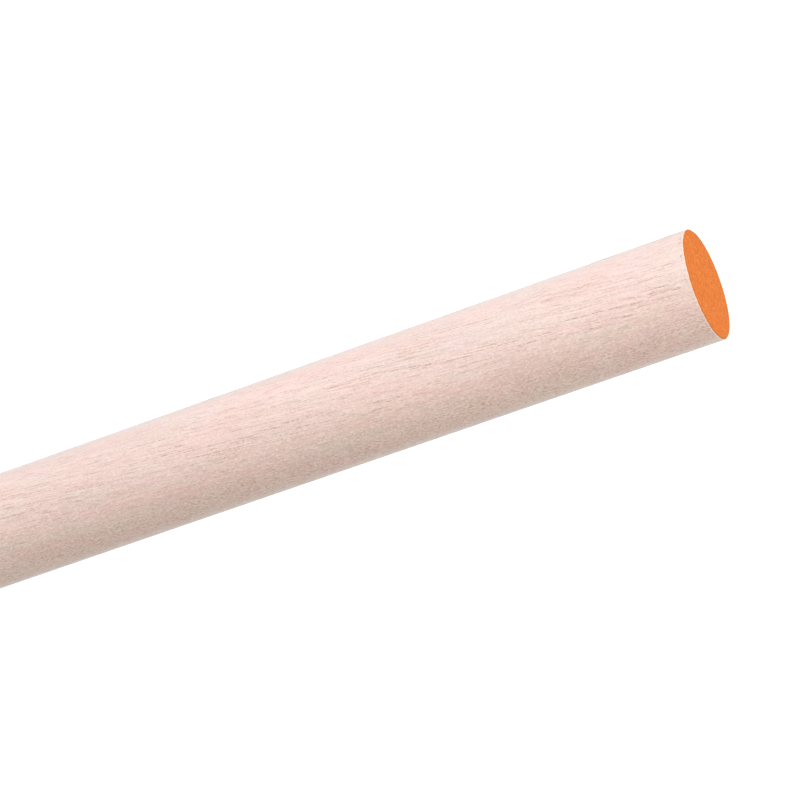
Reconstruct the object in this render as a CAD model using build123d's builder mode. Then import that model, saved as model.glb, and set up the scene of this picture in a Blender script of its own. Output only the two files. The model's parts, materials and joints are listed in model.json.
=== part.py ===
from build123d import *
import os

# Wooden dowel rod: one straight round length of pale hardwood, sawn square at both ends.
# It stands on its plain end, with the painted end on top and the axis along Z, and the
# origin is the middle of the plain end.

# Driving dimensions, in millimetres
rod_diameter = 25.4
rod_length = 304.8
arris_width = 0.3

# Sizes that follow from them
rod_radius = rod_diameter / 2


# The rod: its round section drawn on the plain end and carried up to the painted end, with
# the sharp arris that the saw leaves around each end eased by a light sanding
with BuildPart() as dowel_rod:
    with BuildSketch(Plane.XY) as round_section:
        Circle(rod_radius)
    extrude(amount=rod_length)
    sawn_ends = dowel_rod.faces().filter_by(Axis.Z)
    chamfer(sawn_ends.edges(), length=arris_width)

dowel_rod.part.label = "dowel_rod"


os.makedirs("parts", exist_ok=True)
export_step(dowel_rod.part, "parts/dowel_rod.step")
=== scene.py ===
# Wooden dowel rod: the looks of a straight round rod of pale hardwood, sawn square at both
# ends and painted orange on its upper end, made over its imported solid.

import json
import math

import bpy
from mathutils import Matrix, Vector


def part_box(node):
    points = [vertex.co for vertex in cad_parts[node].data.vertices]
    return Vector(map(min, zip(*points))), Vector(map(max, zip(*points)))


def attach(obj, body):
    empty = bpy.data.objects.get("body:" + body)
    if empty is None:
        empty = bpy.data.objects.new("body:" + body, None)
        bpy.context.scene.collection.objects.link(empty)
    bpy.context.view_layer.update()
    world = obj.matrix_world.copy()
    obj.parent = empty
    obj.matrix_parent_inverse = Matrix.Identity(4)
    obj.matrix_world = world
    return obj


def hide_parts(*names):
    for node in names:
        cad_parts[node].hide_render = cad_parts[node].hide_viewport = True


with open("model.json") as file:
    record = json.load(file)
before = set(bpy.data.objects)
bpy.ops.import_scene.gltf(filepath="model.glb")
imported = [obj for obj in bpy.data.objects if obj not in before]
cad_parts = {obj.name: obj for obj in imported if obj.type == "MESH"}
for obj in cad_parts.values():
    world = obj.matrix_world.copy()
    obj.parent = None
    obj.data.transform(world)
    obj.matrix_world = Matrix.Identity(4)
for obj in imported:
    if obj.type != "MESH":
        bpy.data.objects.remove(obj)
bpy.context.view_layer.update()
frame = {"record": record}

# The rod's own sizes, in metres, from the solid and from its round body in the record
MM = 0.001
_, ROD_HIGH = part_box("dowel_rod")
ROD_RADIUS = ROD_HIGH.x
ROD_LENGTH = ROD_HIGH.z
ROUND_BODY = next(m for m in frame["record"]["mounts"] if m["name"] == "round_body")
ARRIS_WIDTH = (ROD_LENGTH - ROUND_BODY["dims"]["length_mm"] * MM) / 2

# The grain: its slope against the rod's axis, where around the rod, counted from the front, it
# lies flush with the surface, and how far single fibres wander from it
GRAIN_SLOPE = math.radians(5.0)
GRAIN_TURN = math.radians(-24.0)
FIBRE_WANDER = 0.03

# Open pores along the side
PORE_SPACING = 0.7 * MM
PORE_SQUASH = 0.7 / 8.5
LONGEST_PORE = 5.8 * MM
WIDEST_PORE = 0.24 * MM
PORE_DEPTH_SHARE = 0.4
PORE_RIM_POINTS = 8
PORE_END_MARGIN = 0.4 * MM
PORE_SHEET_POINTS = 60

# Pits that the pores leave in the sawn ends
PIT_SPACING = 0.55 * MM
WIDEST_PIT = 0.24 * MM
PIT_DEPTH_SHARE = 0.35
PIT_RIM_POINTS = 6
PIT_RIM_MARGIN = 0.3 * MM
PIT_DISC_POINTS = 64

# The narrowest and the palest of the pores and pits, next to the widest and the darkest
NARROWEST_SHARE = 0.4
PALEST_INK = 0.25
ROD_SEED = 7

# How far the paint's lower line strays on its arris, as a share of the arris
PAINT_RAGGED = 0.3

# How finely the mesh follows the round and the length, and in how many panels it is filled
RING_POINTS = 192
SIDE_PANELS = 16
SEAM_POINTS = 110
WELD_GAP = 0.001 * MM

# Where the bake map lays the surface out, in metres on a square sheet
MAP_SIDE = 194 * MM
MAP_GAP = 4 * MM
ARRIS_UNFOLD = 0.41

# The photograph's camera, solved from the rod's two edges and its painted end
CAMERA_AIM = Vector((1.83 * MM, 0.0, 229.56 * MM))
CAMERA_DISTANCE = 802.2 * MM
CAMERA_ELEVATION = math.radians(19.229)
CAMERA_ROLL = math.radians(70.786)
CAMERA_LENS = 161.57
CAMERA_SENSOR = 36.0
CAMERA_NEAR = 0.01

# How bright the even surroundings are, next to white, and the white that the camera sees
AMBIENT = 0.42
AMBIENT_TINT = (0.965, 0.985, 0.925, 1.0)
BACKDROP = (1.0, 1.0, 1.0, 1.0)

# The soft lights: name, turn from the front towards the right and rise, both in degrees,
# distance and size in metres, what each adds to a white surface that faces it, and tint
KEY_TINT = (0.94, 1.0, 1.08)
WHITE = (1.0, 1.0, 1.0)
SOFT_LIGHTS = (
    ("front light", -48.0, 35.0, 1.3, 1.2, 0.92, KEY_TINT),
    ("left light", -135.0, 30.0, 1.5, 1.2, 0.22, KEY_TINT),
    ("back light", 165.0, 12.0, 1.2, 1.4, 0.35, WHITE),
    ("right light", 62.0, 45.0, 0.34, 0.4, 0.42, WHITE),
)
LIGHT_AIM = Vector((0.0, 0.0, 0.9 * ROD_LENGTH))

# The floor, in metres: its glow to the camera grows with the distance from the rod
FLOOR_REACH = 5.0
FLOOR_COLOUR = (0.615, 0.60, 0.58, 1.0)
GLOW_FROM, LEAST_GLOW = 0.08, 0.30
GLOW_TO, MOST_GLOW = 0.5, 0.8

# Colours of the wood: two close tones where the grain lies flush with the surface, the same two
# darker and yellower where the surface cuts across it, which is also painted shade on the side
# turned away from the front light, and what shows in them
WOOD_TONES = ((0.870, 0.665, 0.605, 1.0), (0.908, 0.647, 0.595, 1.0))
CUT_AND_SHADED_WOOD_TONES = ((0.838, 0.635, 0.550, 1.0), (0.884, 0.602, 0.546, 1.0))
YELLOWER = (1.0, 1.0, 0.96, 1.0)
HAIRLINE = (0.50, 0.225, 0.16, 1.0)
PALE_FIBRE = (0.99, 0.82, 0.73, 1.0)
DARK_FIBRE_END = (0.60, 0.36, 0.28, 1.0)
PALE_FIBRE_END = (1.0, 0.80, 0.72, 1.0)
OPEN_PORE = (0.48, 0.26, 0.20, 1.0)
DARK_SPECK = (0.36, 0.18, 0.11, 1.0)
BARE_ARRIS = (0.78, 0.60, 0.44, 1.0)

# Colours of the paint: its middle, how far it swings from there, and what shows in it
PAINT = (0.657, 0.149, 0.0055)
PAINT_SWING = (0.41, 0.196, 0.07)
PAINT_DOT = (0.86, 0.36, 0.10, 1.0)
PAINT_RIM = (0.55, 0.15, 0.025, 1.0)
PAINT_PIT = (0.50, 0.11, 0.02, 1.0)

# What both surfaces share
SURFACE_IOR = 1.45
RELIEF_STRENGTH = 0.3
RELIEF_DEPTH = 0.08 * MM


class NodeMaker:
    """Adds nodes to one tree. Each socket is fed by other sockets or by a plain value."""

    def __init__(self, tree):
        self.tree = tree

    def feed(self, socket, value):
        if isinstance(value, bpy.types.NodeSocket):
            self.tree.links.new(value, socket)
        elif isinstance(value, list):
            for source in value:
                self.tree.links.new(source, socket)
        else:
            socket.default_value = value

    def add(self, kind, feeds=None, **settings):
        node = self.tree.nodes.new(kind)
        for name, value in settings.items():
            setattr(node, name, value)
        for key, value in (feeds or {}).items():
            self.feed(node.inputs[key], value)
        return node

    def out(self, kind, feeds=None, **settings):
        return self.add(kind, feeds, **settings).outputs[0]

    def math(self, operation, *values):
        return self.out("ShaderNodeMath", dict(enumerate(values)), operation=operation)

    def vector(self, x=0.0, y=0.0, z=0.0):
        return self.out("ShaderNodeCombineXYZ", {"X": x, "Y": y, "Z": z})

    def parts(self, vector):
        return self.add("ShaderNodeSeparateXYZ", {"Vector": vector}).outputs

    def span(self, value, low, high, out_low=0.0, out_high=1.0, smooth=False):
        """Carries a value from one span to another, held at both ends."""
        feeds = {"Value": value, "From Min": low, "From Max": high,
                 "To Min": out_low, "To Max": out_high}
        return self.out("ShaderNodeMapRange", feeds, clamp=True,
                        interpolation_type="SMOOTHSTEP" if smooth else "LINEAR")


class GeometryMaker(NodeMaker):
    """Adds the nodes that Geometry Nodes trees use here."""

    def position(self):
        return self.out("GeometryNodeInputPosition")

    def random(self, least, most, seed):
        return self.add("FunctionNodeRandomValue", {2: least, 3: most, "Seed": seed}).outputs[1]

    def join(self, *parts):
        return self.out("GeometryNodeJoinGeometry", {"Geometry": list(reversed(parts))})

    def mark(self, geometry, name, value, kind="FLOAT", domain="POINT"):
        feeds = {"Geometry": geometry, "Name": name, "Value": value}
        return self.out("GeometryNodeStoreNamedAttribute", feeds, data_type=kind, domain=domain)

    def marked(self, name):
        return self.out("GeometryNodeInputNamedAttribute", {"Name": name}, data_type="FLOAT")

    def on_faces(self, value):
        return self.out("GeometryNodeFieldOnDomain", {"Value": value}, domain="FACE", data_type="FLOAT")

    def move(self, geometry, position):
        return self.out("GeometryNodeSetPosition", {"Geometry": geometry, "Position": position})

    def shift(self, geometry, offset, selection=True):
        feeds = {"Geometry": geometry, "Offset": offset, "Selection": selection}
        return self.out("GeometryNodeSetPosition", feeds)

    def weld(self, geometry):
        return self.out("GeometryNodeMergeByDistance", {"Geometry": geometry, "Distance": WELD_GAP})

    def group(self, tree, feeds):
        return self.out("GeometryNodeGroup", feeds, node_tree=tree)

    def outline(self, mesh):
        """The open edges of a mesh, as closed curves."""
        faces = self.out("GeometryNodeInputMeshEdgeNeighbors")
        open_edge = self.math("LESS_THAN", faces, 1.5)
        return self.out("GeometryNodeMeshToCurve", {"Mesh": mesh, "Selection": open_edge})

    def scatter(self, sheet, spacing, seed):
        """Points on a flat sheet, no two nearer than the spacing."""
        feeds = {"Mesh": sheet, "Distance Min": spacing, "Density Max": 4.0 / spacing ** 2,
                 "Seed": seed}
        return self.out("GeometryNodeDistributePointsOnFaces", feeds, distribute_method="POISSON")


def new_tree(name, inputs):
    """A Geometry Nodes tree with these named inputs: the tree, its maker and what it is given."""
    tree = bpy.data.node_groups.new(name, "GeometryNodeTree")
    for label, kind in inputs.items():
        tree.interface.new_socket(label, in_out="INPUT", socket_type="NodeSocket" + kind)
    tree.interface.new_socket("Geometry", in_out="OUTPUT", socket_type="NodeSocketGeometry")
    make = GeometryMaker(tree)
    return tree, make, make.add("NodeGroupInput").outputs


def hollows_tree():
    """Small dished hollows at points of a flat sheet: a rim, and a floor that is one point."""
    tree, make, given = new_tree("Hollows", {
        "Points": "Geometry", "Rim points": "Int", "Width": "Float", "Length": "Float",
        "Turn": "Float", "Depth": "Float", "Ink": "Float"})
    dish = make.out("GeometryNodeMeshCircle", {"Vertices": given["Rim points"], "Radius": 0.5},
                    fill_type="TRIANGLE_FAN")
    reach = make.add("ShaderNodeVectorMath", {0: make.position()}, operation="LENGTH").outputs["Value"]
    dish = make.mark(dish, "floor", make.math("LESS_THAN", reach, 0.1))
    hollows = make.out("GeometryNodeInstanceOnPoints", {
        "Points": given["Points"], "Instance": dish,
        "Rotation": make.vector(z=given["Turn"]),
        "Scale": make.vector(given["Width"], given["Length"], 1.0)})
    hollows = make.mark(hollows, "sunk", given["Depth"], domain="INSTANCE")
    hollows = make.mark(hollows, "ink", given["Ink"], domain="INSTANCE")
    hollows = make.out("GeometryNodeRealizeInstances", {"Geometry": hollows})
    drop = make.math("MULTIPLY", make.marked("floor"), make.math("MULTIPLY", make.marked("sunk"), -1.0))
    hollows = make.shift(hollows, make.vector(z=drop))
    pore = make.math("MULTIPLY", make.marked("floor"), make.marked("ink"))
    hollows = make.mark(hollows, "pore", pore)
    make.add("NodeGroupOutput", {"Geometry": hollows})
    return tree


def hollowed_sheet_tree():
    """Flat panels inside their borders, cut open around the hollows and closed again by them."""
    tree, make, given = new_tree("Hollowed sheet", {
        "Borders": "Geometry", "Hollows": "Geometry", "Panel": "Int"})
    rims = make.outline(given["Hollows"])
    sheet = make.out("GeometryNodeFillCurve", {
        "Curve": make.join(given["Borders"], rims), "Group ID": given["Panel"]})
    sheet = make.mark(sheet, "flush", 1.0, domain="FACE")
    sheet = make.weld(make.join(sheet, given["Hollows"]))
    make.add("NodeGroupOutput", {"Geometry": sheet})
    return tree


def side_tree(hollows, hollowed_sheet):
    """The rod's round side, from arris to arris, opened by its pores."""
    tree, make, given = new_tree("Round side", {
        "Radius": "Float", "Length": "Float", "Arris": "Float", "Grain slope": "Float",
        "Grain turn": "Float", "Seed": "Int"})
    girth = make.math("MULTIPLY", given["Radius"], 2 * math.pi)
    length = make.math("SUBTRACT", given["Length"], make.math("MULTIPLY", given["Arris"], 2.0))
    panel_width = make.math("DIVIDE", girth, SIDE_PANELS)

    # Pore places, chosen on a sheet that is squashed along the grain and then drawn out
    room = make.math("SUBTRACT", length, LONGEST_PORE + PORE_END_MARGIN)
    sheet = make.out("GeometryNodeMeshGrid", {
        "Size X": girth, "Size Y": make.math("MULTIPLY", room, PORE_SQUASH),
        "Vertices X": PORE_SHEET_POINTS, "Vertices Y": PORE_SHEET_POINTS})
    points = make.scatter(sheet, PORE_SPACING, given["Seed"])
    u, v, _ = make.parts(make.position())
    points = make.move(points, make.vector(u, make.math("DIVIDE", v, PORE_SQUASH)))

    # Each pore runs with the grain: long where the grain lies along the surface, short where
    # the surface cuts across it
    u, v, _ = make.parts(make.position())
    around = make.math("SUBTRACT", make.math("DIVIDE", u, given["Radius"]), given["Grain turn"])
    width = make.random(NARROWEST_SHARE * WIDEST_PORE, WIDEST_PORE, 11)
    cut = make.math("MULTIPLY", make.math("SINE", given["Grain slope"]),
                    make.math("ABSOLUTE", make.math("SINE", around)))
    pore_length = make.math("DIVIDE", width, make.math("ADD", cut, FIBRE_WANDER))
    pore_length = make.math("MINIMUM", pore_length, LONGEST_PORE)
    pore_length = make.math("MULTIPLY", pore_length, make.random(0.5, 1.0, 12))
    lean = make.math("MULTIPLY", make.math("TANGENT", given["Grain slope"]),
                     make.math("COSINE", around))
    turn = make.math("SUBTRACT", make.random(-0.02, 0.02, 13), make.math("ARCTANGENT", lean))

    # No pore crosses from one panel to the next
    along_panels = make.math("ADD", make.math("DIVIDE", u, panel_width), SIDE_PANELS / 2)
    to_line = make.math("MULTIPLY", make.math("PINGPONG", along_panels, 0.5), panel_width)
    reach = make.math("ADD", make.math("MULTIPLY", width, 0.6), make.math("ABSOLUTE", make.math(
        "MULTIPLY", pore_length, make.math("MULTIPLY", make.math("SINE", turn), 0.5))))
    points = make.out("GeometryNodeDeleteGeometry", {
        "Geometry": points, "Selection": make.math("LESS_THAN", to_line, reach)}, domain="POINT")
    pores = make.group(hollows, {
        "Points": points, "Rim points": PORE_RIM_POINTS, "Width": width, "Length": pore_length,
        "Turn": turn, "Depth": make.math("MULTIPLY", width, PORE_DEPTH_SHARE),
        "Ink": make.random(PALEST_INK, 1.0, 14)})

    # The sheet itself, in panels
    start = make.vector(make.math("SUBTRACT", make.math("DIVIDE", panel_width, 2.0),
                                  make.math("DIVIDE", girth, 2.0)))
    middles = make.out("GeometryNodeMeshLine", {
        "Count": SIDE_PANELS, "Start Location": start, "Offset": make.vector(panel_width)})
    panel = make.out("GeometryNodeMeshGrid", {
        "Size X": panel_width, "Size Y": length,
        "Vertices X": RING_POINTS // SIDE_PANELS + 1, "Vertices Y": SEAM_POINTS})
    panels = make.out("GeometryNodeRealizeInstances", {"Geometry": make.out(
        "GeometryNodeInstanceOnPoints", {"Points": middles, "Instance": panel})})
    skin = make.group(hollowed_sheet, {
        "Borders": make.outline(panels), "Hollows": pores, "Panel": make.math("FLOOR", along_panels)})
    skin = make.mark(skin, "skin", make.marked("flush"), domain="FACE")

    # The bake map: two strips side by side, each half the rod long
    u, v, h = make.parts(make.position())
    upper = make.math("GREATER_THAN", make.on_faces(v), 0.0)
    half = make.math("DIVIDE", girth, 2.0)
    across = make.math("ADD", make.math("ADD", u, half), MAP_GAP)
    across = make.math("ADD", across, make.math("MULTIPLY", upper, make.math("ADD", girth, MAP_GAP)))
    up = make.math("ADD", v, make.math("MULTIPLY", make.math("SUBTRACT", 1.0, upper),
                                       make.math("DIVIDE", length, 2.0)))
    skin = make.mark(skin, "OFBake", make.vector(
        make.math("DIVIDE", across, MAP_SIDE),
        make.math("DIVIDE", make.math("ADD", up, MAP_GAP), MAP_SIDE)), kind="FLOAT2", domain="CORNER")

    # Wrap the sheet round the axis, with its middle at the front and its seam at the back
    angle = make.math("SUBTRACT", make.math("DIVIDE", u, given["Radius"]), math.pi / 2)
    out = make.math("ADD", given["Radius"], h)
    skin = make.move(skin, make.vector(
        make.math("MULTIPLY", out, make.math("COSINE", angle)),
        make.math("MULTIPLY", out, make.math("SINE", angle)),
        make.math("ADD", v, make.math("DIVIDE", given["Length"], 2.0))))
    make.add("NodeGroupOutput", {"Geometry": make.weld(skin)})
    return tree


def sawn_end_tree(hollows, hollowed_sheet):
    """A sawn end at the origin, facing up: the pitted flat and the eased arris around it."""
    tree, make, given = new_tree("Sawn end", {
        "Radius": "Float", "Arris": "Float", "Ragged": "Float", "Seed": "Int",
        "Map across": "Float", "Map up": "Float"})
    flat_radius = make.math("SUBTRACT", given["Radius"], given["Arris"])
    disc = make.out("GeometryNodeMeshCircle", {
        "Vertices": PIT_DISC_POINTS, "Radius": make.math("SUBTRACT", flat_radius, PIT_RIM_MARGIN)},
        fill_type="TRIANGLE_FAN")
    width = make.random(NARROWEST_SHARE * WIDEST_PIT, WIDEST_PIT, 21)
    pits = make.group(hollows, {
        "Points": make.scatter(disc, PIT_SPACING, given["Seed"]), "Rim points": PIT_RIM_POINTS,
        "Width": width, "Length": width, "Turn": make.random(0.0, 6.2, 22),
        "Depth": make.math("MULTIPLY", width, PIT_DEPTH_SHARE),
        "Ink": make.random(PALEST_INK, 1.0, 23)})
    border = make.out("GeometryNodeMeshToCurve", {"Mesh": make.out("GeometryNodeMeshCircle", {
        "Vertices": RING_POINTS, "Radius": flat_radius}, fill_type="NONE")})
    flat = make.group(hollowed_sheet, {"Borders": border, "Hollows": pits, "Panel": 0})

    # The arris, in two bands: paint runs over its edge down to a ragged line between them
    arris = make.out("GeometryNodeMeshCone", {
        "Vertices": RING_POINTS, "Side Segments": 2, "Radius Top": flat_radius,
        "Radius Bottom": given["Radius"], "Depth": given["Arris"]}, fill_type="NONE")
    x, y, z = make.parts(make.position())
    middle = make.math("COMPARE", z, make.math("DIVIDE", given["Arris"], 2.0), 0.01 * MM)
    stray = make.math("MULTIPLY", make.random(-0.5, 0.5, 24),
                      make.math("MULTIPLY", given["Arris"], given["Ragged"]))
    inward = make.math("DIVIDE", make.math("MULTIPLY", stray, -1.0), given["Radius"])
    arris = make.shift(arris, make.vector(make.math("MULTIPLY", x, inward),
                                          make.math("MULTIPLY", y, inward), stray), middle)
    arris = make.shift(arris, make.vector(z=make.math("MULTIPLY", given["Arris"], -1.0)))
    end = make.weld(make.join(flat, arris))

    # The bake map: the flat as a disc, with the arris opened out around it
    x, y, z = make.parts(make.position())
    reach = make.math("SQRT", make.math("ADD", make.math("MULTIPLY", x, x),
                                        make.math("MULTIPLY", y, y)))
    beyond = make.math("MAXIMUM", make.math("SUBTRACT", reach, flat_radius), 0.0)
    unfolded = make.math("ADD", reach, make.math("MULTIPLY", beyond, ARRIS_UNFOLD))
    stretch = make.math("DIVIDE", unfolded, make.math("MAXIMUM", reach, WELD_GAP))
    across = make.math("ADD", given["Map across"], make.math("MULTIPLY", x, stretch))
    up = make.math("ADD", given["Map up"], make.math("MULTIPLY", y, stretch))
    end = make.mark(end, "OFBake", make.vector(
        make.math("DIVIDE", across, MAP_SIDE), make.math("DIVIDE", up, MAP_SIDE)),
        kind="FLOAT2", domain="CORNER")
    make.add("NodeGroupOutput", {"Geometry": end})
    return tree


def dowel_tree():
    """The whole rod: its side, the plain end turned over at the bottom and the painted end on top."""
    hollows = hollows_tree()
    hollowed_sheet = hollowed_sheet_tree()
    side = side_tree(hollows, hollowed_sheet)
    sawn_end = sawn_end_tree(hollows, hollowed_sheet)
    tree, make, given = new_tree("Dowel rod", {
        "Radius": "Float", "Length": "Float", "Arris": "Float", "Grain slope": "Float",
        "Grain turn": "Float", "Seed": "Int", "Wood": "Material", "Paint": "Material"})
    round_side = make.group(side, {key: given[key] for key in
                                   ("Radius", "Length", "Arris", "Grain slope", "Grain turn", "Seed")})
    ends = []
    map_up = ROD_LENGTH / 2 + 3 * MAP_GAP + 1.1 * ROD_RADIUS
    for number, ragged in ((0, 0.0), (1, PAINT_RAGGED)):
        ends.append(make.group(sawn_end, {
            "Radius": given["Radius"], "Arris": given["Arris"], "Ragged": ragged,
            "Seed": make.math("ADD", given["Seed"], number + 1.0),
            "Map across": MAP_GAP + (2.4 * number + 1.1) * ROD_RADIUS, "Map up": map_up}))
    plain_end = make.out("GeometryNodeTransform", {
        "Geometry": ends[0], "Rotation": (math.pi, 0.0, 0.0)})
    painted_end = make.out("GeometryNodeTransform", {
        "Geometry": ends[1], "Translation": make.vector(z=given["Length"])})
    rod = make.weld(make.join(round_side, plain_end, painted_end))

    # The side is shaded as one round, and everything else by its own facets
    x, y, z = make.parts(make.position())
    outward = make.out("ShaderNodeVectorMath", {0: make.vector(x, y)}, operation="NORMALIZE")
    facet = make.out("GeometryNodeFieldOnDomain", {"Value": make.out("GeometryNodeInputNormal")},
                     domain="FACE", data_type="FLOAT_VECTOR")
    normal = make.out("GeometryNodeSwitch", {
        "Switch": make.math("GREATER_THAN", make.on_faces(make.marked("skin")), 0.5),
        "False": facet, "True": outward}, input_type="VECTOR")
    rod = make.out("GeometryNodeSetMeshNormal", {"Mesh": rod, "Custom Normal": normal},
                   mode="FREE", domain="CORNER")

    # Materials: paint on the upper flat and down to the ragged line of its arris
    rod = make.out("GeometryNodeRealizeInstances", {"Geometry": rod})
    rod = make.out("GeometryNodeSetMaterial", {"Geometry": rod, "Material": given["Wood"]})
    paint_line = make.math("SUBTRACT", given["Length"], make.math("DIVIDE", given["Arris"], 2.0))
    on_top = make.math("GREATER_THAN", make.on_faces(z), paint_line)
    rod = make.out("GeometryNodeSetMaterial", {
        "Geometry": rod, "Selection": on_top, "Material": given["Paint"]})
    make.add("NodeGroupOutput", {"Geometry": rod})
    return tree


def evaluate(tree, values):
    """The plain mesh that a tree makes from these values of its named inputs."""
    holder = bpy.data.objects.new("holder", bpy.data.meshes.new("holder"))
    bpy.context.scene.collection.objects.link(holder)
    modifier = holder.modifiers.new(tree.name, "NODES")
    modifier.node_group = tree
    for socket in tree.interface.items_tree:
        if socket.in_out == "INPUT":
            modifier[socket.identifier] = values[socket.name]
    evaluated = holder.evaluated_get(bpy.context.evaluated_depsgraph_get())
    mesh = bpy.data.meshes.new_from_object(evaluated)
    bpy.data.objects.remove(holder)
    return mesh


class ShaderMaker(NodeMaker):
    """Adds the nodes that the materials use here."""

    def place(self):
        """Object coordinates, in millimetres."""
        place = self.add("ShaderNodeTexCoord").outputs["Object"]
        return self.out("ShaderNodeVectorMath", {0: place, "Scale": 1 / MM}, operation="SCALE")

    def with_grain(self, place):
        """A place turned so that Z runs with the grain."""
        axis = (math.sin(GRAIN_TURN), -math.cos(GRAIN_TURN), 0.0)
        return self.out("ShaderNodeVectorRotate", {
            "Vector": place, "Axis": axis, "Angle": GRAIN_SLOPE}, rotation_type="AXIS_ANGLE")

    def from_axis(self, place):
        """How far a place is from the rod's axis."""
        x, y, _ = self.parts(place)
        return self.math("SQRT", self.add_up((self.times(x, x), 1.0), (self.times(y, y), 1.0)))

    def in_cells(self, place, across, along, offset=0.0):
        """A place counted in cells of this size, drawn out along the grain."""
        return self.out("ShaderNodeMapping", {
            "Vector": place, "Location": (offset, offset, offset),
            "Scale": (1 / across, 1 / across, 1 / along)})

    def flecks(self, place, across, along, detail=2.0, offset=0.0):
        """Noise about zero, drawn out along the grain."""
        cells = self.in_cells(place, across, along, offset)
        noise = self.out("ShaderNodeTexNoise", {"Vector": cells, "Scale": 1.0, "Detail": detail})
        return self.math("SUBTRACT", noise, 0.5)

    def needles(self, place, across, along, girth, offset=0.0):
        """Slim needles that lie with the grain, each with its own strength, with sharp sides."""
        cells = self.in_cells(place, across, along, offset)
        spots = self.add("ShaderNodeTexVoronoi", {"Vector": cells, "Scale": 1.0}).outputs
        inside = self.span(spots["Distance"], girth, 0.7 * girth)
        strength = self.span(self.parts(spots["Color"])[0], 0.0, 1.0, 0.4, 1.0)
        return self.times(inside, strength)

    def wander(self, place, across, along, reach):
        """A place pushed a little sideways, so that the fibres are not quite straight."""
        cells = self.in_cells(place, across, along)
        noise = self.add("ShaderNodeTexNoise", {"Vector": cells, "Scale": 1.0, "Detail": 1.0})
        push = self.out("ShaderNodeVectorMath", {0: noise.outputs["Color"], 1: (0.5, 0.5, 0.5)},
                        operation="SUBTRACT")
        push = self.out("ShaderNodeVectorMath", {0: push, "Scale": reach}, operation="SCALE")
        return self.out("ShaderNodeVectorMath", {0: place, 1: push}, operation="ADD")

    def pore(self):
        """How dark the floor of a pore or pit is, and nothing elsewhere."""
        return self.add("ShaderNodeAttribute", attribute_name="pore").outputs["Fac"]

    def blend(self, share, first, second, how="MIX"):
        node = self.add("ShaderNodeMix", {0: share, 6: first, 7: second},
                        data_type="RGBA", blend_type=how)
        return node.outputs[2]

    def brighten(self, colour, amount):
        """Multiplies a colour by one plus an amount."""
        factor = self.math("ADD", amount, 1.0)
        return self.out("ShaderNodeVectorMath", {0: colour, 1: self.vector(factor, factor, factor)},
                        operation="MULTIPLY")

    def times(self, product, *values):
        for value in values:
            product = self.math("MULTIPLY", product, value)
        return product

    def add_up(self, *weighted):
        total = 0.0
        for value, weight in weighted:
            total = self.math("MULTIPLY_ADD", value, weight, total)
        return total

    def relief(self, *weighted):
        """The normals of a surface that is uneven by these weighted heights."""
        return self.out("ShaderNodeBump", {
            "Strength": RELIEF_STRENGTH, "Distance": RELIEF_DEPTH, "Height": self.add_up(*weighted)})


def new_material(name):
    material = bpy.data.materials.new(name)
    material.use_nodes = True
    material.node_tree.nodes.clear()
    return material, ShaderMaker(material.node_tree)


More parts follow.
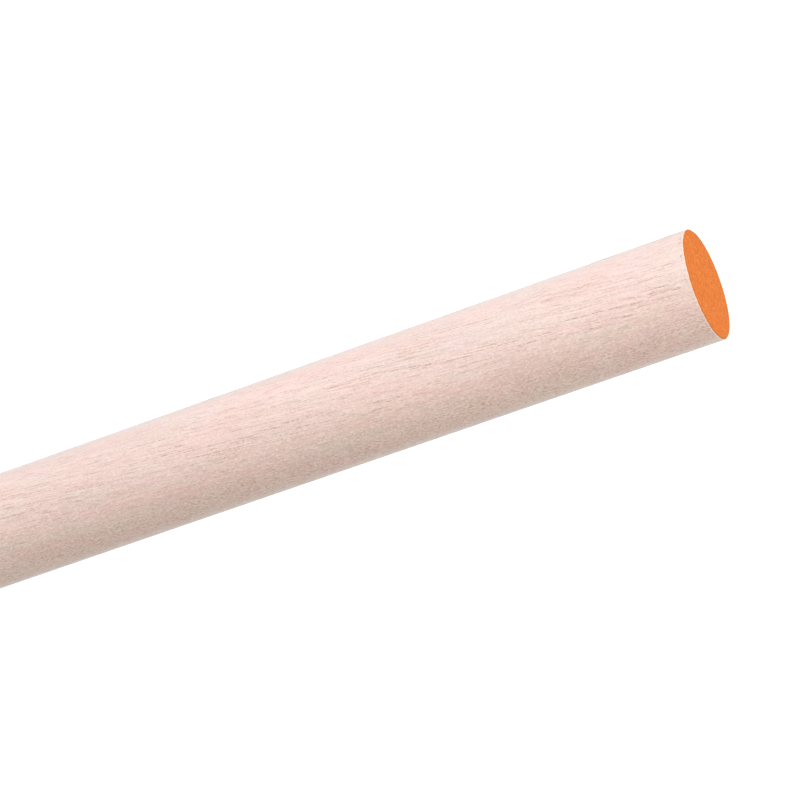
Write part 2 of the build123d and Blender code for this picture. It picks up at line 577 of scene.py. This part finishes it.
def wood_material():
    """Pale hardwood. Sizes of flecks and needles are in millimetres, across and along the grain."""
    material, make = new_material("pale hardwood")
    place = make.place()
    grain = make.wander(make.with_grain(place), across=4.0, along=30.0, reach=1.2)
    x, y, z = make.parts(place)

    # How far the fibres run out of the surface: not at all where the grain lies flush with it
    runout = make.add_up(
        (x, math.cos(GRAIN_TURN) * MM / ROD_RADIUS), (y, math.sin(GRAIN_TURN) * MM / ROD_RADIUS))
    below_end = make.math("SUBTRACT", ROD_LENGTH / MM, z)

    # Lighter and darker along the grain: weaker streaks to one side of the flush grain, and
    # stronger fibres to the other
    broad = make.flecks(grain, across=7.0, along=40.0, offset=11.4)
    streaks = make.times(make.flecks(grain, across=0.6, along=60.0, offset=13.0),
                         make.span(runout, -0.7, -0.1, 0.3, 1.0))
    fibres = make.times(make.flecks(grain, across=0.28, along=4.0, offset=29.0),
                        make.span(runout, 0.3, 0.7, 1.0, 1.6))
    dust = make.flecks(grain, across=0.2, along=0.55, detail=0.0, offset=47.0)
    light = make.add_up((broad, 0.16), (streaks, 0.24), (fibres, 0.22), (dust, 0.30))

    # Two close tones of wood in patches, darker and yellower where the surface cuts across the grain,
    # which is also painted shade on the side turned away from the front light, and here and there a
    # little yellower
    patch = make.span(make.flecks(grain, across=5.0, along=22.0, offset=67.6), -0.15, 0.15)
    tone = make.blend(make.span(runout, 0.0, 0.65), make.blend(patch, *WOOD_TONES),
                      make.blend(patch, *CUT_AND_SHADED_WOOD_TONES))
    yellower = make.span(make.flecks(grain, across=3.0, along=9.0, offset=83.0), -0.2, 0.2)
    tone = make.blend(yellower, tone, YELLOWER, how="MULTIPLY")
    colour = make.brighten(tone, light)

    # Hairlines: fine red-brown vessels in loose clusters, broken here and there, that thin out
    # where the fibres run out and just under the painted end
    bold = make.needles(grain, across=0.44, along=45.0, girth=0.34, offset=11.2)
    fine = make.needles(grain, across=0.32, along=30.0, girth=0.37, offset=57.4)
    gaps = make.flecks(grain, across=0.3, along=1.4, offset=71.0)
    nicks = make.flecks(grain, across=0.2, along=0.5, detail=0.0, offset=77.0)
    unbroken = make.times(make.span(gaps, -0.13, 0.02, 0.15, 1.0),
                          make.span(nicks, -0.15, 0.1, 0.3, 1.0))
    clusters = make.flecks(grain, across=2.5, along=30.0, offset=38.4)
    hairs = make.times(
        make.math("MAXIMUM", bold, fine), unbroken, make.span(clusters, -0.15, 0.15, 0.45, 1.15),
        make.span(runout, -0.75, -0.2, 0.3, 1.0), make.span(runout, 0.3, 0.85, 0.95, 0.4),
        make.span(below_end, 1.5, 4.0, 0.3, 1.0))
    colour = make.blend(hairs, colour, HAIRLINE)
    pale = make.needles(grain, across=0.34, along=8.0, girth=0.33, offset=19.0)
    colour = make.blend(make.times(pale, unbroken), colour, PALE_FIBRE)

    # Open ends of fibres: red-brown and pale grains, mostly where they run out of the surface
    grains = make.flecks(grain, across=0.24, along=0.75, detail=1.0, offset=97.0)
    swarms = make.flecks(grain, across=2.0, along=7.0, offset=91.2)
    ends = make.times(make.span(runout, 0.3, 0.95, 0.1, 1.0), make.span(swarms, -0.12, 0.15, 0.5, 1.0))
    dark_ends = make.times(make.span(grains, -0.07, -0.2), ends,
                           make.span(runout, 0.75, 0.95, 0.45, 1.4))
    colour = make.blend(dark_ends, colour, DARK_FIBRE_END)
    pale_ends = make.times(make.span(grains, 0.065, 0.145), make.span(runout, -0.5, 0.9, 0.2, 0.9))
    colour = make.blend(pale_ends, colour, PALE_FIBRE_END)
    colour = make.blend(make.times(make.pore(), 0.8), colour, OPEN_PORE)

    # A few dark specks just under the painted end, and the bare arris
    specks = make.flecks(place, across=0.35, along=0.35, detail=0.0, offset=111.0)
    near_end = make.times(make.span(below_end, 1.0, 2.2, 1.0, 0.0), make.span(below_end, 0.35, 0.5))
    specks = make.times(make.span(specks, 0.17, 0.24), near_end, 0.6)
    colour = make.blend(specks, colour, DARK_SPECK)
    arris = ARRIS_WIDTH / MM
    colour = make.blend(make.span(below_end, arris - 0.03, arris, 0.8, 0.0), colour, BARE_ARRIS)

    relief = make.relief((fibres, 0.3), (hairs, -0.25), (make.times(grains, ends), 1.2))
    shader = make.out("ShaderNodeBsdfPrincipled", {
        "Base Color": colour, "Roughness": 0.5, "IOR": SURFACE_IOR, "Specular IOR Level": 0.5,
        "Sheen Weight": 1.0, "Sheen Roughness": 0.35, "Normal": relief})
    make.add("ShaderNodeOutputMaterial", {"Surface": shader})
    return material


def paint_material():
    """Matt orange paint. Sizes of its mottling are in millimetres."""
    material, make = new_material("orange end paint")
    place = make.place()
    patches = make.flecks(place, across=4.0, along=4.0)
    grain = make.flecks(place, across=0.9, along=0.9, offset=17.0)
    specks = make.flecks(place, across=0.3, along=0.3, detail=1.0, offset=31.0)
    light = make.add_up((patches, 0.15), (grain, 0.65), (specks, 0.75))
    colour = make.out("ShaderNodeVectorMath", {
        0: make.vector(light, light, light), 1: PAINT_SWING, 2: PAINT}, operation="MULTIPLY_ADD")
    dots = make.needles(place, across=0.9, along=0.9, girth=0.26, offset=43.0)
    colour = make.blend(make.times(dots, 0.6), colour, PAINT_DOT)

    # Darker at the rim and in the pits
    radius = ROD_RADIUS / MM
    rim = make.span(make.from_axis(place), radius - 0.5, radius - 0.3)
    colour = make.blend(make.times(rim, 0.7), colour, PAINT_RIM)
    colour = make.blend(make.times(make.pore(), 0.5), colour, PAINT_PIT)

    relief = make.relief((grain, 1.0), (specks, 0.6))
    shader = make.out("ShaderNodeBsdfPrincipled", {
        "Base Color": colour, "Roughness": 0.7, "IOR": SURFACE_IOR, "Specular IOR Level": 0.15,
        "Normal": relief})
    make.add("ShaderNodeOutputMaterial", {"Surface": shader})
    return material


def build_rod():
    mesh = evaluate(dowel_tree(), {
        "Radius": ROD_RADIUS, "Length": ROD_LENGTH, "Arris": ARRIS_WIDTH, "Grain slope": GRAIN_SLOPE,
        "Grain turn": GRAIN_TURN, "Seed": ROD_SEED, "Wood": wood_material(),
        "Paint": paint_material()})
    mesh.name = "dowel_rod_wood"
    if mesh.materials[0] is None:
        mesh.materials.pop(index=0)
    rod = bpy.data.objects.new("dowel_rod_wood", mesh)
    bpy.context.scene.collection.objects.link(rod)
    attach(rod, "root")
    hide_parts("dowel_rod")
    return rod


def build_floor():
    """A plain pale floor that looks white to the camera but keeps the rod's shadow."""
    mesh = bpy.data.meshes.new("floor")
    reach = FLOOR_REACH
    mesh.from_pydata([(-reach, -reach, 0), (reach, -reach, 0), (reach, reach, 0), (-reach, reach, 0)],
                     [], [(0, 1, 2, 3)])
    material, make = new_material("pale floor")
    diffuse = make.out("ShaderNodeBsdfDiffuse", {"Color": FLOOR_COLOUR})
    to_camera = make.add("ShaderNodeLightPath").outputs["Is Camera Ray"]
    away = make.from_axis(make.add("ShaderNodeTexCoord").outputs["Object"])
    lift = make.span(away, GLOW_FROM, GLOW_TO, LEAST_GLOW, MOST_GLOW, smooth=True)
    glow = make.out("ShaderNodeEmission", {"Strength": make.math("MULTIPLY", to_camera, lift)})
    surface = make.out("ShaderNodeAddShader", {0: diffuse, 1: glow})
    make.add("ShaderNodeOutputMaterial", {"Surface": surface})
    mesh.materials.append(material)
    floor = bpy.data.objects.new("floor", mesh)
    bpy.context.scene.collection.objects.link(floor)


def add_softbox(name, turn, rise, distance, size, light, tint):
    """A round soft light that looks at the rod's upper part."""
    turn, rise = math.radians(turn), math.radians(rise)
    lamp_data = bpy.data.lights.new(name, "AREA")
    lamp_data.shape = "DISK"
    lamp_data.size = size
    lamp_data.color = tint
    lamp_data.energy = light * math.pi ** 2 * distance ** 2
    toward = Vector((math.sin(turn) * math.cos(rise), -math.cos(turn) * math.cos(rise), math.sin(rise)))
    lamp = bpy.data.objects.new(name, lamp_data)
    lamp.location = LIGHT_AIM + toward * distance
    lamp.rotation_euler = toward.to_track_quat("Z", "Y").to_euler()
    bpy.context.scene.collection.objects.link(lamp)


def set_light():
    """Even pale surroundings in front of a white backdrop, and the soft lights around the rod."""
    world = bpy.data.worlds.new("studio")
    bpy.context.scene.world = world
    world.use_nodes = True
    world.node_tree.nodes.clear()
    make = NodeMaker(world.node_tree)
    path = make.add("ShaderNodeLightPath").outputs
    seen = make.math("MAXIMUM", path["Is Camera Ray"],
                     make.math("MAXIMUM", path["Is Glossy Ray"], path["Is Transmission Ray"]))
    around = make.out("ShaderNodeBackground", {"Color": AMBIENT_TINT, "Strength": AMBIENT})
    backdrop = make.out("ShaderNodeBackground", {"Color": BACKDROP, "Strength": 1.0})
    make.add("ShaderNodeOutputWorld", {"Surface": make.out("ShaderNodeMixShader", {
        0: seen, 1: around, 2: backdrop})})
    for soft_light in SOFT_LIGHTS:
        add_softbox(*soft_light)


def set_camera():
    camera = bpy.data.objects.new("camera", bpy.data.cameras.new("camera"))
    camera.data.sensor_width = CAMERA_SENSOR
    camera.data.lens = CAMERA_LENS
    camera.data.clip_start = CAMERA_NEAR
    toward = Vector((0.0, -math.cos(CAMERA_ELEVATION), math.sin(CAMERA_ELEVATION)))
    level = Vector((1.0, 0.0, 0.0))
    upright = toward.cross(level)
    right = level * math.cos(CAMERA_ROLL) + upright * math.sin(CAMERA_ROLL)
    up = upright * math.cos(CAMERA_ROLL) - level * math.sin(CAMERA_ROLL)
    place = CAMERA_AIM + toward * CAMERA_DISTANCE
    camera.matrix_world = Matrix.Translation(place) @ Matrix((right, up, toward)).transposed().to_4x4()
    bpy.context.scene.collection.objects.link(camera)
    bpy.context.scene.camera = camera


build_rod()
build_floor()
set_light()
set_camera()
bpy.context.scene.view_settings.view_transform = "Standard"
